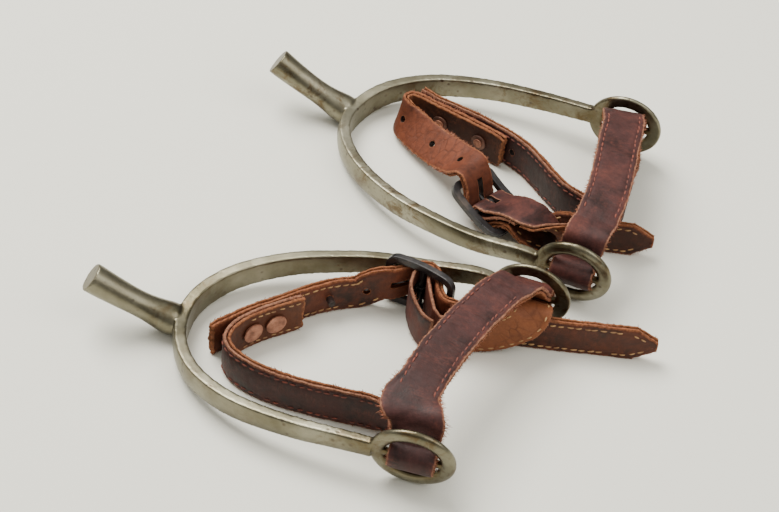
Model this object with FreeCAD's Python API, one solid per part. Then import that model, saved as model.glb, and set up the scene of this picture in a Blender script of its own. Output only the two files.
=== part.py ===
import FreeCAD, Part
import math
import os

# A pair of riding spurs lying flat, each with its leather strap still buckled through its own two rings.
# Millimetres and degrees. Both spurs lie on one edge, so Z is across the boot and the table is at Z = 0.
# Each spur points its neck towards -X. The left one lies in front (-Y) and the right one behind (+Y).

V = FreeCAD.Vector
UP = V(0, 0, 1)

# driving dimensions of the metal
RING_RADIUS = 14.3
RING_OPENING_RADIUS = 9.3
RING_CROWN = 1.5
BAR_HALF_HEIGHT = 1.35
BAR_HALF_DEPTH = 1.05
HEEL_HEIGHT = 9.9
BRANCH_END_HEIGHT = 7.0
HEEL_THICKNESS = 4.2
BRANCH_END_THICKNESS = 2.9
BRANCH_CROWN = 0.7
NECK_REACH = 29.5
NECK_RISE = 16.0
NECK_START_SLOPE = 0.415
NECK_RADII = [4.75, 5.6, 4.9, 4.55, 4.6, 4.8, 5.05, 5.2]

# driving dimensions of the leather
STRAP_WIDTH = 15.5
BILLET_WIDTH = 14.5
TIP_LENGTH = 8.0
OUTER_PLY = 1.5
LINING_PLY = 1.4
PLY_GAP = 0.06
GRAIN_FACE = PLY_GAP / 2 + OUTER_PLY
FLESH_FACE = -PLY_GAP / 2 - LINING_PLY
HOLE_RADIUS = 1.3
STITCH_PITCH = 4.2
STITCH_LENGTH = 2.4
STITCH_THICKNESS = 0.45
STITCH_EDGE = 1.9
STITCH_LIFT = 0.12
SECTION_STEP = 3.2

# driving dimensions of the buckles and rivets
BUCKLE_HALF_LENGTH = 13.2
BUCKLE_HALF_WIDTH = 11.1
BUCKLE_WINDOW_LENGTH = 10.7
BUCKLE_WINDOW_WIDTH = 8.2
BUCKLE_THICKNESS = 2.4
BUCKLE_BOW = 1.5
BUCKLE_BAR_RADIUS = 1.1
PRONG_RADIUS = 0.8
PRONG_EYE_RADIUS = 1.95
PRONG_CLEARANCE = 0.05
SLOT_HALF_WIDTH = 1.3
RIVET_SHANK_RADIUS = 1.2
RIVET_HEAD_RADIUS = 3.8
RIVET_HEAD_THICKNESS = 0.9
BURR_RADIUS = 3.1
BURR_THICKNESS = 0.7
RIVET_SEAT = 0.15

# the pair's middle on the table, measured from the two spurs, so that the origin is under the middle
# of the box
PAIR_MIDDLE = V(-1.70, -7.87, 0)

# Each spur: heel position on the table, heading, and its two branches. side +1 is +Y of the spur, -1 is -Y.
# reach and spread place the branch end, splay is the end's heading out from the axis, and belly, heel_pull
# and end_pull are the strengths of the curve that runs there from the heel. lean tips the ring's top
# outwards.
SPURS = {
    "left": {
        "heel": V(-69.0, -49.1, 5.0), "heading": -4.5, "neck_skew": -3.5,
        1: {"reach": 104.0, "spread": 36.7, "splay": -9.0, "heel_pull": 71, "end_pull": 200, "belly": 0.2,
            "lean": -3.1},
        -1: {"reach": 74.9, "spread": 45.5, "splay": 5.0, "heel_pull": 76, "end_pull": 5, "belly": 7.5,
             "lean": 7.5},
    },
    "right": {
        "heel": V(-22.5, 71.0, 5.0), "heading": -25.6, "neck_skew": -13.8,
        1: {"reach": 82.0, "spread": 46.1, "splay": 10.2, "heel_pull": 109, "end_pull": 5, "belly": 3.3,
            "lean": -5.9},
        -1: {"reach": 100.9, "spread": 38.2, "splay": -9.2, "heel_pull": 82, "end_pull": 200, "belly": -1.5,
             "lean": 5.3},
    },
}


# ---------- places ----------

def unit(vector):
    return vector * (1.0 / vector.Length)


def along_plan(degrees):
    return V(math.cos(math.radians(degrees)), math.sin(math.radians(degrees)), 0)


def to_table(spur, point):
    """A point in the spur's own axes, heel at the origin and neck towards -X, placed on the table."""
    turn = FreeCAD.Rotation(UP, spur["heading"])
    return spur["heel"] + turn.multVec(point)


def branch_point(branch, side, part):
    """Middle of the band's thickness, 0 at the heel and 1 where it meets the ring."""
    start = V(HEEL_THICKNESS / 2, 0, 0)
    end = V(branch["reach"], side * branch["spread"], 0)
    heel_pull = V(0, side * branch["heel_pull"], 0)
    end_pull = along_plan(side * branch["splay"]) * branch["end_pull"]
    t = part
    point = start * (2 * t**3 - 3 * t**2 + 1) + heel_pull * (t**3 - 2 * t**2 + t)
    point += end * (3 * t**2 - 2 * t**3) + end_pull * (t**3 - t**2)
    peak = 0.4**2 * 0.6**3
    belly = branch["belly"] * t**2 * (1 - t)**3 / peak
    return point + V(-0.6 * belly, side * 0.8 * belly, 0)


class Ring:
    """Axes of a strap ring: ahead along the branch, out from the boot, and up its leaning face."""

    def __init__(self, spur, side):
        branch = spur[side]
        end = branch_point(branch, side, 1.0)
        centre = end + along_plan(side * branch["splay"]) * (RING_RADIUS - 1)
        self.centre = to_table(spur, centre)
        self.centre.z = RING_RADIUS
        heading = spur["heading"] + side * branch["splay"]
        self.ahead = along_plan(heading)
        flat_out = along_plan(heading + side * 90)
        lean = math.radians(branch["lean"])
        self.out = flat_out * math.cos(lean) - UP * math.sin(lean)
        self.up = UP * math.cos(lean) + flat_out * math.sin(lean)

    def at(self, ahead, out, up):
        return self.centre + self.ahead * ahead + self.out * out + self.up * up


class Buckle:
    """Axes of a centre-bar buckle: along the billet, across it, and out on the convex side."""

    def __init__(self, centre, along, out):
        self.centre = centre
        self.along = unit(along)
        self.out = unit(out - self.along * out.dot(self.along))
        self.across = self.out.cross(self.along)
        self.placement = FreeCAD.Placement(centre, FreeCAD.Rotation(self.along, self.across, self.out, "XYZ"))

    def at(self, along, out, across=0.0):
        return self.centre + self.along * along + self.out * out + self.across * across

    def place(self, shape):
        shape.Placement = self.placement.multiply(shape.Placement)
        return shape


LEFT_NEAR = Ring(SPURS["left"], -1)
LEFT_FAR = Ring(SPURS["left"], 1)
RIGHT_NEAR = Ring(SPURS["right"], -1)
RIGHT_FAR = Ring(SPURS["right"], 1)
LEFT_BUCKLE = Buckle(V(11.7, -26.2, 11.6), V(0.908, -0.42, 0), V(0.42, 0.908, 0))
RIGHT_BUCKLE = Buckle(V(34.9, 26.7, 8.3), V(0.734, -0.611, -0.297), V(-0.28, 0.125, -0.952))


# ---------- strap routes: points chosen by hand, each with the direction across the strap ----------

def through_ring_outwards(ring, across):
    """In at the lower opening, round the outside of the bar and back in over it."""
    turns = [(-3.6, -3.3), (-1.7, -3.2), (0, -3.2), (2.3, -2.3), (3.1, 0), (2.3, 2.3), (0, 3.2), (-1.6, 3.4)]
    return [(ring.at(0, out, up), across) for out, up in turns]


def left_main():
    near = LEFT_NEAR
    far = LEFT_FAR
    near_across = near.ahead * -1
    far_across = far.ahead * -1
    tab = [(-27.5, -40), (-34.5, -44.4), (-41, -48.8), (-46.3, -53.6), (-49.6, -58.6), (-50.2, -62.8),
           (-48, -67), (-44, -70.3), (-38, -73.4), (-30, -76), (-20, -78), (-8, -79.6)]
    route = [(V(x, y, 8), UP) for x, y in tab]
    route += [(V(0, -80.8, 8.4), UP), (V(7, -83.2, 8.9), V(-.3, -.1, .9)),
              (V(12, -87.5, 9.6), V(-.7, -.3, .6)),
              (V(15.2, -93.5, 10.4), V(-.98, .1, .15))]
    route += through_ring_outwards(near, near_across)
    route += [(near.at(-.2, -3.8, 5.2), near_across), (near.at(-.7, -5.4, 8.6), near_across),
              (near.at(-1.3, -7.4, 11.8), V(-.98, .2, 0)), (V(13.6, -90, 28.6), V(-.96, .28, .03)),
              (V(15.8, -82.5, 29.5), V(-.93, .36, .03)), (V(20, -72, 29.3), V(-.91, .41, .03)),
              (V(25.8, -60, 28.8), V(-.9, .43, .02)), (V(33, -47, 27.9), V(-.9, .43, 0)),
              (V(40.4, -35.8, 27), V(-.9, .42, 0)), (far.at(-3, -7, 11.3), V(-.94, .34, 0)),
              (far.at(-1.6, -5.4, 8.2), V(-.96, .28, 0)), (far.at(-.4, -3.8, 5.1), far_across)]
    route += list(reversed(through_ring_outwards(far, far_across)))
    route += [(V(49.8, -29.4, 13.6), V(-.96, .25, 0)), (V(50, -30.9, 16.8), V(-.95, .28, 0)),
              (V(50.2, -35.1, 18.5), V(-.93, .33, .1)), (V(48.6, -38.9, 16.2), V(-.76, .05, .6)),
              (V(44.4, -39.5, 12.2), V(-.62, 0, .75)), (V(40, -39.9, 9.6), V(-.3, 0, .95)),
              (V(35, -40.5, 8.3), UP), (V(30, -41.2, 8), UP), (V(24.5, -41.9, 8), UP),
              (V(19.5, -42.3, 8.2), UP)]
    return route


def left_chape():
    """The outer ply alone, from the end of the lining round the buckle bar and back."""
    turns = [(9.8, -8.2), (6.6, -4.6), (4.3, -1.6), (2.9, 0.5), (1.9, 3.1), (0, 4.1), (-1.9, 3.1),
             (-2.6, 1.2),
             (-2.4, -1.2), (-1.2, -4.6), (1.5, -8), (5, -11), (9, -13.1), (12.4, -13.6)]
    drop = 3.3 / 12
    return [(LEFT_BUCKLE.at(a, c) + UP * min(0, drop * c), UP) for a, c in turns]


def left_billet():
    buckle = LEFT_BUCKLE
    start = [(-56.3, -57.2), (-51, -52.5), (-44.5, -47), (-37.8, -42.4), (-30, -37), (-23, -32.4), (-16, -29),
             (-9, -26.6)]
    route = [(V(x, y, 7.6), UP) for x, y in start]
    turns = [(-12.4, -4.5), (-9.3, -2.2), (-5.4, 2.8), (-2.6, 6.0), (0, 7.0), (2.6, 6.2), (5.4, 3.1),
             (8.9, -2),
             (12.2, -4.5), (16, -4)]
    route += [(buckle.at(a, c), UP) for a, c in turns]
    tail = [(36, -36.1), (42, -35.5), (48, -35.1), (56, -35.1), (66, -35), (78, -34.6), (88, -34.5),
            (96, -34.5)]
    route += [(V(30, -36.6, 9), UP)]
    route += [(V(x, y, 7.4), UP) for x, y in tail]
    return route


def right_main():
    near = RIGHT_NEAR
    far = RIGHT_FAR
    band = [(10, 75), (20, 70.2), (30, 65.2), (39, 59.8), (46, 54), (52, 46.5), (57.5, 38.8), (63, 32.5),
            (69.5, 28.6), (76, 27.6), (81.6, 30), (84.3, 35)]
    route = [(V(4.8, 78.6, 8.2), UP)]
    route += [(V(x, y, 8), UP) for x, y in band]
    route += [(V(83.8, 41.5, 8.3), V(.3, 0, 1)), (V(82.6, 50, 9), V(.8, .2, .6)),
              (V(82.8, 60, 10.2), V(1, -.2, .2))]
    route += through_ring_outwards(far, far.ahead)
    route += [(far.at(-.1, -3.6, 4.9), far.ahead), (far.at(-.5, -5, 8.5), far.ahead),
              (far.at(-1, -6.8, 11.6), V(1, -.15, .05)), (V(81, 58, 28.1), V(1, -.06, 0)),
              (V(79, 45, 29), V(1, -.03, 0)), (V(77, 30, 29.3), V(1, -.06, 0)),
              (V(74.4, 15, 28.9), V(.97, -.15, 0)),
              (V(70.6, 2, 28.1), V(.96, -.2, 0)), (near.at(1, -6.8, 12), V(.97, -.2, 0)),
              (near.at(.7, -5.2, 8.5), near.ahead), (near.at(.2, -3.6, 4.9), near.ahead)]
    route += list(reversed(through_ring_outwards(near, near.ahead)))
    route += [(V(65.3, -1.2, 11.8), V(.85, .1, .5)), (V(62.8, 5.2, 13.2), V(.3, .1, .95)),
              (V(58.6, 9.4, 14.1), V(-.3, -.6, .75)), (V(54, 12.6, 13.9), V(-.55, -.75, .3)),
              (RIGHT_BUCKLE.at(15.8, -11), RIGHT_BUCKLE.across)]
    return route


def right_chape():
    """The outer ply alone: over the buckle bar, round it and back underneath."""
    turns = [(12, -10), (9, -8.2), (5.5, -5), (2.6, -2.2), (0.3, -0.8), (-1.5, 0), (-2.1, 1.5), (-1.5, 3),
             (0, 3.6), (2.6, 2.5), (4.8, 0), (7, -3.3), (9.2, -6), (12, -8), (14.6, -9.2)]
    return [(RIGHT_BUCKLE.at(a, c), RIGHT_BUCKLE.across) for a, c in turns]


def right_billet():
    buckle = RIGHT_BUCKLE
    across = buckle.across * -1
    route = [(V(38, 55.9, 8), UP), (V(31, 60.2, 8), UP), (V(24, 64.2, 8), UP), (V(16, 68.4, 8), UP),
             (V(9, 71.8, 8.2), UP), (V(4, 74, 8.4), V(.05, .05, 1)), (V(.4, 74.4, 8.4), V(.12, .12, 1)),
             (V(-1.8, 72.2, 8.4), V(.2, .25, 1)), (V(-1.4, 68.4, 8.4), V(.26, .32, .95)),
             (V(1.4, 64.8, 8.4), V(.36, .48, .8)), (V(6, 59.6, 8.4), V(.44, .58, .72)),
             (V(11.2, 53.8, 8.8), V(.5, .6, .7)), (V(16, 48.4, 10.2), V(.55, .62, .6)),
             (V(20.8, 42.4, 12.6), V(.6, .7, .4))]
    turns = [(-12.4, -4.4), (-9.3, -2.2), (-5.4, 2.8), (-2.6, 5.5), (0, 6.05), (2.6, 5.75),
             (5.5, 3.9), (8.9, -1.7),
             (12.2, -4.5)]
    route += [(buckle.at(a, c), across) for a, c in turns]
    route += [(V(50.4, 16.3, 7), V(.6, .74, .22)), (V(56.5, 16.3, 5.6), V(.54, .7, .42)),
              (V(62.5, 17.2, 7.5), V(.3, .4, .85)), (V(68.5, 17.4, 7.4), V(.1, .1, 1))]
    route += [(V(x, 17.3, 7.5), UP) for x in (76, 83, 90, 95.5)]
    return route


# ---------- ribbons of leather ----------

def smooth(stations, step=SECTION_STEP):
    """Points about one step apart on a smooth curve through the stations, with the direction across."""
    points = [point for point, across in stations]
    acrosses = [unit(across) for point, across in stations]
    spans = [(points[i + 1] - points[i]).Length for i in range(len(points) - 1)]
    slopes = [(points[i + 1] - points[i]) * (1 / spans[i]) for i in range(len(spans))]
    tangents = [slopes[0]]
    for i in range(1, len(spans)):
        weighted = slopes[i - 1] * spans[i] + slopes[i] * spans[i - 1]
        tangents.append(weighted * (1 / (spans[i - 1] + spans[i])))
    tangents.append(slopes[-1])
    route = []
    for i, span in enumerate(spans):
        turn = math.degrees(tangents[i].getAngle(tangents[i + 1]))
        count = max(1, round(span / step), round(turn / 22))
        for k in range(count):
            t = k / count
            point = points[i] * (2 * t**3 - 3 * t**2 + 1) + points[i + 1] * (3 * t**2 - 2 * t**3)
            point += tangents[i] * (span * (t**3 - 2 * t**2 + t)) + tangents[i + 1] * (span * (t**3 - t**2))
            route.append((point, acrosses[i] * (1 - t) + acrosses[i + 1] * t))
    route.append((points[-1], acrosses[-1]))
    return route


def framed(stations):
    """Points along a smooth route, each with its travel direction, direction across and grain normal."""
    route = smooth(stations)
    frames = []
    for i, (point, across) in enumerate(route):
        before = route[max(i - 1, 0)][0]
        after = route[min(i + 1, len(route) - 1)][0]
        travel = unit(after - before)
        square = unit(across - travel * across.dot(travel))
        frames.append((point, travel, square, travel.cross(square)))
    return frames


def ribbon(frames, width, low, high, tip=0.0):
    """A solid strip between two heights towards the grain side. A tip length narrows its end to a point."""
    end = frames[-1][0]
    wires = []
    for point, travel, across, grain in frames:
        half = width / 2
        if tip:
            half *= min(1.0, 0.3 + 0.7 * (end - point).Length / tip)
        corners = [point + across * (side * half) + grain * height
                   for side, height in ((-1, low), (1, low), (1, high), (-1, high), (-1, low))]
        wires.append(Part.makePolygon(corners))
    return Part.makeLoft(wires, True, True)


def at_distance(frames, distance):
    """Frame at a distance from the start of a strap."""
    walked = 0.0
    for i in range(1, len(frames)):
        length = (frames[i][0] - frames[i - 1][0]).Length
        if walked + length >= distance:
            part = (distance - walked) / length
            mixed = [frames[i - 1][k] * (1 - part) + frames[i][k] * part for k in range(4)]
            return [mixed[0]] + [unit(vector) for vector in mixed[1:]]
        walked += length
    return list(frames[-1])


def gap_along(point, axis, frames):
    """Distance along an axis from a point to where the axis first crosses a strap's middle."""
    gaps = []
    for start, end in zip([frame[0] for frame in frames], [frame[0] for frame in frames[1:]]):
        aside = [(place - point) - axis * (place - point).dot(axis) for place in (start, end)]
        if aside[0].dot(aside[1]) < 0:
            share = aside[0].Length / (aside[0].Length + aside[1].Length)
            gaps.append((start * (1 - share) + end * share - point).dot(axis))
    return min(gap for gap in gaps if gap > 0)


def punch(frames, distance):
    """Cutter for a hole through every ply of a strap."""
    point, travel, across, grain = at_distance(frames, distance)
    return Part.makeCylinder(HOLE_RADIUS, 8, point - grain * 4, grain)


def stitches(frames, width, runs):
    """Both edge rows of thread on the grain side, over each run of distances from the start."""
    pieces = []
    lift = GRAIN_FACE + STITCH_THICKNESS / 2 + STITCH_LIFT
    for start, end in runs:
        for i in range(int((end - start) / STITCH_PITCH)):
            point, travel, across, grain = at_distance(frames, start + (i + 0.5) * STITCH_PITCH)
            turn = FreeCAD.Rotation(travel, across, grain, "XYZ")
            for side in (-1, 1):
                middle = point + across * (side * (width / 2 - STITCH_EDGE)) + grain * lift
                half = V(STITCH_LENGTH, STITCH_THICKNESS, STITCH_THICKNESS) * 0.5
                piece = Part.makeBox(STITCH_LENGTH, STITCH_THICKNESS, STITCH_THICKNESS)
                piece.Placement = FreeCAD.Placement(middle - turn.multVec(half), turn)
                pieces.append(piece)
    return Part.makeCompound(pieces)


# ---------- metal pieces ----------

def band_section(spur, side, part, share):
    """Band cross-section: flat against the boot, a little convex outside."""
    branch = spur[side]
    here = branch_point(branch, side, part)
    step = 0.001
    ahead = unit(branch_point(branch, side, min(part + step, 1))
                 - branch_point(branch, side, max(part - step, 0)))
    outward = V(-ahead.y * side, ahead.x * side, 0)
    half_height = (HEEL_HEIGHT + (BRANCH_END_HEIGHT - HEEL_HEIGHT) * share) / 2
    half_thickness = (HEEL_THICKNESS + (BRANCH_END_THICKNESS - HEEL_THICKNESS) * share) / 2
    rise = UP * ((RING_RADIUS - spur["heel"].z) * share)
    middle = here + rise

    def corner(out, up):
        return to_table(spur, middle + outward * (out * half_thickness) + UP * (up * half_height))

    crown = to_table(spur, middle + outward * (half_thickness + BRANCH_CROWN))
    edges = [Part.LineSegment(corner(-1, -1), corner(-1, 1)).toShape(),
             Part.LineSegment(corner(-1, 1), corner(1, 1)).toShape(),
             Part.Arc(corner(1, 1), crown, corner(1, -1)).toShape(),
             Part.LineSegment(corner(1, -1), corner(-1, -1)).toShape()]
    return Part.Wire(edges)


def branch_shares(branch, side, parts):
    """Share of the branch's length walked at each part of its curve."""
    count = 60
    points = [branch_point(branch, side, i / count) for i in range(count + 1)]
    walked = [0.0]
    for i in range(count):
        walked.append(walked[-1] + (points[i + 1] - points[i]).Length)
    return [walked[round(part * count)] / walked[-1] for part in parts]


def yoke(spur):
    """The U-shaped band, one loft from ring to ring round the heel."""
    parts = [0, 0.1, 0.2, 0.3, 0.4, 0.5, 0.6, 0.7, 0.8, 0.9, 1.0]
    sides = {}
    for side in (-1, 1):
        shares = branch_shares(spur[side], side, parts)
        sides[side] = [band_section(spur, side, part, share) for part, share in zip(parts, shares)]
    wires = list(reversed(sides[-1])) + sides[1][1:]
    return Part.makeLoft(wires, True, False)


def neck(spur):
    """The round neck, rising in an upward sweep behind the heel."""
    wires = []
    last = len(NECK_RADII) - 1
    start_rise = NECK_START_SLOPE * NECK_REACH
    for i, radius in enumerate(NECK_RADII):
        t = i / last
        sideways = math.tan(math.radians(spur["neck_skew"])) * NECK_REACH * t
        point = V(-NECK_REACH * t, sideways, start_rise * t + (NECK_RISE - start_rise) * t**2)
        slope = V(-NECK_REACH, sideways / max(t, 0.01), start_rise + 2 * (NECK_RISE - start_rise) * t)
        if i == 0:
            point = V(HEEL_THICKNESS / 4, 0, 0)
            slope = V(-1, 0, 0)
        turn = FreeCAD.Rotation(UP, spur["heading"])
        wires.append(Part.Wire(Part.makeCircle(radius, to_table(spur, point), turn.multVec(slope))))
    return Part.makeLoft(wires, True, False)


def strap_ring(ring):
    """Round rim, crowned outside and dished inside, with the flat-sided bar across it."""
    profile = [(RING_OPENING_RADIUS, -0.9), (RING_RADIUS - 0.4, -1.3), (RING_RADIUS, -0.8),
               (RING_RADIUS, 0.2)]
    points = [V(radius, 0, out) for radius, out in profile]
    crown = Part.Arc(points[-1], V((RING_RADIUS + RING_OPENING_RADIUS) / 2, 0, RING_CROWN),
                     V(RING_OPENING_RADIUS, 0, 0.6)).toShape()
    edges = [Part.LineSegment(points[i], points[i + 1]).toShape() for i in range(3)]
    edges += [crown, Part.LineSegment(V(RING_OPENING_RADIUS, 0, 0.6), points[0]).toShape()]
    rim = Part.Face(Part.Wire(edges)).revolve(V(0, 0, 0), V(0, 0, 1), 360)
    length = 2 * RING_OPENING_RADIUS + 2
    bar = Part.makeBox(length, 2 * BAR_HALF_HEIGHT, 2 * BAR_HALF_DEPTH,
                       V(-length / 2, -BAR_HALF_HEIGHT, -BAR_HALF_DEPTH))
    bar = bar.makeFillet(0.6, [edge for edge in bar.Edges if edge.Length > length - 1])
    whole = rim.fuse(bar)
    whole.Placement = FreeCAD.Placement(ring.centre, FreeCAD.Rotation(ring.ahead, ring.up, ring.out, "XZY"))
    return whole


def heel_band(name):
    """One casting: yoke, neck and both strap rings."""
    spur = SPURS[name]
    rings = [Ring(spur, side) for side in (-1, 1)]
    whole = yoke(spur).fuse([neck(spur)] + [strap_ring(ring) for ring in rings])
    return whole.removeSplitter()


def buckle_frame(buckle):
    """Bowed oblong frame with rounded corners, swollen where the centre bar crosses it."""
    outer = Part.makeBox(2 * BUCKLE_HALF_LENGTH, 2 * BUCKLE_HALF_WIDTH, 20,
                         V(-BUCKLE_HALF_LENGTH, -BUCKLE_HALF_WIDTH, -10))
    outer = outer.makeFillet(4.0, [edge for edge in outer.Edges if abs(edge.Length - 20) < 0.01])
    window = Part.makeBox(2 * BUCKLE_WINDOW_LENGTH, 2 * BUCKLE_WINDOW_WIDTH, 24,
                          V(-BUCKLE_WINDOW_LENGTH, -BUCKLE_WINDOW_WIDTH, -12))
    window = window.makeFillet(2.0, [edge for edge in window.Edges if abs(edge.Length - 24) < 0.01])
    outline = outer.cut(window)
    half = BUCKLE_HALF_LENGTH - BUCKLE_THICKNESS / 2
    radius = (half**2 + BUCKLE_BOW**2) / (2 * BUCKLE_BOW)
    low = V(0, -15, BUCKLE_BOW - radius)
    across = V(0, 1, 0)
    shell = Part.makeCylinder(radius + BUCKLE_THICKNESS / 2, 30, low, across)
    shell = shell.cut(Part.makeCylinder(radius - BUCKLE_THICKNESS / 2, 30, low, across))
    bar_half = BUCKLE_WINDOW_WIDTH + 1
    bar = Part.makeCylinder(BUCKLE_BAR_RADIUS, 2 * bar_half, V(0, -bar_half, BUCKLE_BOW), across)
    return buckle.place(outline.common(shell).fuse(bar).removeSplitter())


def buckle_prong(buckle):
    """Tapered tongue on an eye round the bar, its tip resting on the end bar."""
    across = V(0, 1, 0)
    centre = V(0, -1.1, BUCKLE_BOW)
    eye = Part.makeCylinder(PRONG_EYE_RADIUS, 2.2, centre, across)
    start = V(-0.8, 0, BUCKLE_BOW + 1.1)
    tip_height = BUCKLE_THICKNESS / 2 + 2 * PRONG_RADIUS * 0.8 + PRONG_CLEARANCE
    tip = V(-BUCKLE_HALF_LENGTH + 0.4, 0, tip_height - 0.1)
    travel = tip - start
    shaft = Part.makeCone(PRONG_RADIUS, PRONG_RADIUS * 0.8, travel.Length, start, travel)
    whole = eye.fuse(shaft)
    hole = Part.makeCylinder(BUCKLE_BAR_RADIUS + PRONG_CLEARANCE, 4, V(0, -2, BUCKLE_BOW), across)
    return buckle.place(whole.cut(hole).removeSplitter())


def prong_slot(buckle, back, front):
    """Cutter for the slot that lets the tongue through the leather."""
    box = Part.makeBox(front - back, 2 * SLOT_HALF_WIDTH, 14, V(back, -SLOT_HALF_WIDTH, -4))
    return buckle.place(box)


def rivet(point, axis, gap):
    """Flat-headed copper rivet: head on one strap, shank through both, set end beyond the burr."""
    face = GRAIN_FACE + RIVET_SEAT
    far = gap + face
    head = Part.makeCylinder(RIVET_HEAD_RADIUS, RIVET_HEAD_THICKNESS,
                             point - axis * (face + RIVET_HEAD_THICKNESS),
                             axis)
    head = head.makeFillet(0.4, [head.Edges[0]])
    length = face + far + BURR_THICKNESS + 0.1
    shank = Part.makeCylinder(RIVET_SHANK_RADIUS, length, point - axis * face, axis)
    set_end = Part.makeCylinder(RIVET_SHANK_RADIUS + 0.6, 0.45, point + axis * (length - face), axis)
    return head.fuse([shank, set_end])


def burr(point, axis, gap):
    """Washer under the rivet's set end."""
    low = gap + GRAIN_FACE + RIVET_SEAT
    disc = Part.makeCylinder(BURR_RADIUS, BURR_THICKNESS, point + axis * low, axis)
    return disc.cut(Part.makeCylinder(RIVET_SHANK_RADIUS + 0.05, 4, point + axis * (low - 2), axis))


# ---------- one spur's strap ----------

def strap_pieces(name, main, chape, billet, buckle, rivets, holes, runs, billet_runs):
    """Every piece of one strap set, by node name. rivets gives distances along the main strap."""
    main_frames = framed(main)
    billet_frames = framed(billet)
    ply_middle = (PLY_GAP + OUTER_PLY) / 2
    chape_frames = [(point - grain * ply_middle, travel, across, grain)
                    for point, travel, across, grain in framed(chape)]
    shanks = []
    fixings = []
    for distance in rivets:
        point, travel, across, grain = at_distance(main_frames, distance)
        fixings.append((point, grain, gap_along(point, grain, billet_frames)))
        shanks.append(Part.makeCylinder(RIVET_SHANK_RADIUS + 0.05, 20, point - grain * 8, grain))
    main_cuts = shanks + [punch(main_frames, distance) for distance in holes["main"]]
    billet_cuts = shanks + [punch(billet_frames, distance) for distance in holes["billet"]]
    billet_cuts += [prong_slot(buckle, -9.5, -0.5)]
    chape_slot = prong_slot(buckle, -4.2, 2.3)
    outer = ribbon(main_frames + chape_frames, STRAP_WIDTH, PLY_GAP / 2, GRAIN_FACE)
    outer = outer.cut(main_cuts + [chape_slot])
    lining = ribbon(main_frames, STRAP_WIDTH - 0.3, FLESH_FACE, -PLY_GAP / 2).cut(main_cuts)
    billet_outer = ribbon(billet_frames, BILLET_WIDTH, PLY_GAP / 2, GRAIN_FACE, TIP_LENGTH).cut(billet_cuts)
    billet_lining = ribbon(billet_frames, BILLET_WIDTH - 0.3, FLESH_FACE, -PLY_GAP / 2, TIP_LENGTH)
    billet_lining = billet_lining.cut(billet_cuts)
    return {
        name + "_instep_strap": outer,
        name + "_instep_lining": lining,
        name + "_billet_strap": billet_outer,
        name + "_billet_lining": billet_lining,
        name + "_buckle_frame": buckle_frame(buckle),
        name + "_buckle_prong": buckle_prong(buckle),
        name + "_rivets": Part.makeCompound([rivet(*fixing) for fixing in fixings]),
        name + "_burrs": Part.makeCompound([burr(*fixing) for fixing in fixings]),
        name + "_strap_stitching": stitches(main_frames, STRAP_WIDTH, runs),
        name + "_billet_stitching": stitches(billet_frames, BILLET_WIDTH, billet_runs),
    }


def all_pieces():
    pieces = {name + "_heel_band": heel_band(name) for name in SPURS}
    pieces.update(strap_pieces("left", left_main(), left_chape(), left_billet(), LEFT_BUCKLE,
                               rivets=(10.8, 20), holes={"main": (), "billet": (45.5, 59.5)},
                               runs=[(42, 84)], billet_runs=[(30, 43), (120, 162)]))
    pieces.update(strap_pieces("right", right_main(), right_chape(), right_billet(), RIGHT_BUCKLE,
                               rivets=(12, 30), holes={"main": (43.5,), "billet": (51, 69, 87)},
                               runs=[(48, 61)], billet_runs=[(154, 171)]))
    return pieces


os.makedirs("parts", exist_ok=True)
for node, shape in all_pieces().items():
    shape.translate(PAIR_MIDDLE * -1)
    shape.exportStep("parts/" + node + ".step")
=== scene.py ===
import math
import random

import bmesh
import bpy
from mathutils import Matrix, Vector, noise


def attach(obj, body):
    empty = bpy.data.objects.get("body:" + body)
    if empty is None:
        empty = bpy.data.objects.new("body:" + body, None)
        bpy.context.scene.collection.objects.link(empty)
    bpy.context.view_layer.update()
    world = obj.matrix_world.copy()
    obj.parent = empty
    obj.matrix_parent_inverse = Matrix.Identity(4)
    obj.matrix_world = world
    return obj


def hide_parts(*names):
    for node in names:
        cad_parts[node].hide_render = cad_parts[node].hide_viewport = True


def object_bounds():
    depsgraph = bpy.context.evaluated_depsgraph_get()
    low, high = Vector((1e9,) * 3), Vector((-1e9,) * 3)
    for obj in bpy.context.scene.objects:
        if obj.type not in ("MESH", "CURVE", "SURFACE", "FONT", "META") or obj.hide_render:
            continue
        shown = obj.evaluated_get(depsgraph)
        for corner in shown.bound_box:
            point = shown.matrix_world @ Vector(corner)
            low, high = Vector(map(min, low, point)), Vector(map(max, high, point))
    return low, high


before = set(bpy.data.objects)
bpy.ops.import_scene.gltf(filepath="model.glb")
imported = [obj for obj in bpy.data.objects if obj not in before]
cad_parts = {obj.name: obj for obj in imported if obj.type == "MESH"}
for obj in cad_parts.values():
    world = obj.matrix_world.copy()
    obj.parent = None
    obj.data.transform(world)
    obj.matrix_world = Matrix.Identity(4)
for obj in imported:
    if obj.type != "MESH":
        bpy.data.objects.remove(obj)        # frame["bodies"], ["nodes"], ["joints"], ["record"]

# A pair of riding spurs lying flat, each with its leather strap buckled through its own rings.
# The strap routes are the CAD's own points, in millimetres, before the pair's middle is moved to
# the origin. The leather and thread are built in millimetres and scaled to metres when a mesh is made.

CAD_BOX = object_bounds()
MM = 0.001


def V(x, y, z=0.0):
    return Vector((x, y, z))


UP = V(0, 0, 1)
PAIR_MIDDLE = V(-1.70, -7.87)
TABLE_CLEARANCE = 0.03

# strap sizes, the same as the CAD's, in millimetres
STRAP_WIDTH = 15.5
BILLET_WIDTH = 14.5
TIP_LENGTH = 8.0
PLY_GAP = 0.06
GRAIN_FACE = PLY_GAP / 2 + 1.5
FLESH_FACE = -PLY_GAP / 2 - 1.4
HOLE_RADIUS = 1.3
SLOT_HALF_WIDTH = 1.3
RING_RADIUS = 14.3
STITCH_PITCH = 2.9
STITCH_EDGE = 1.9
MESH_STEP = 0.55

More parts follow.
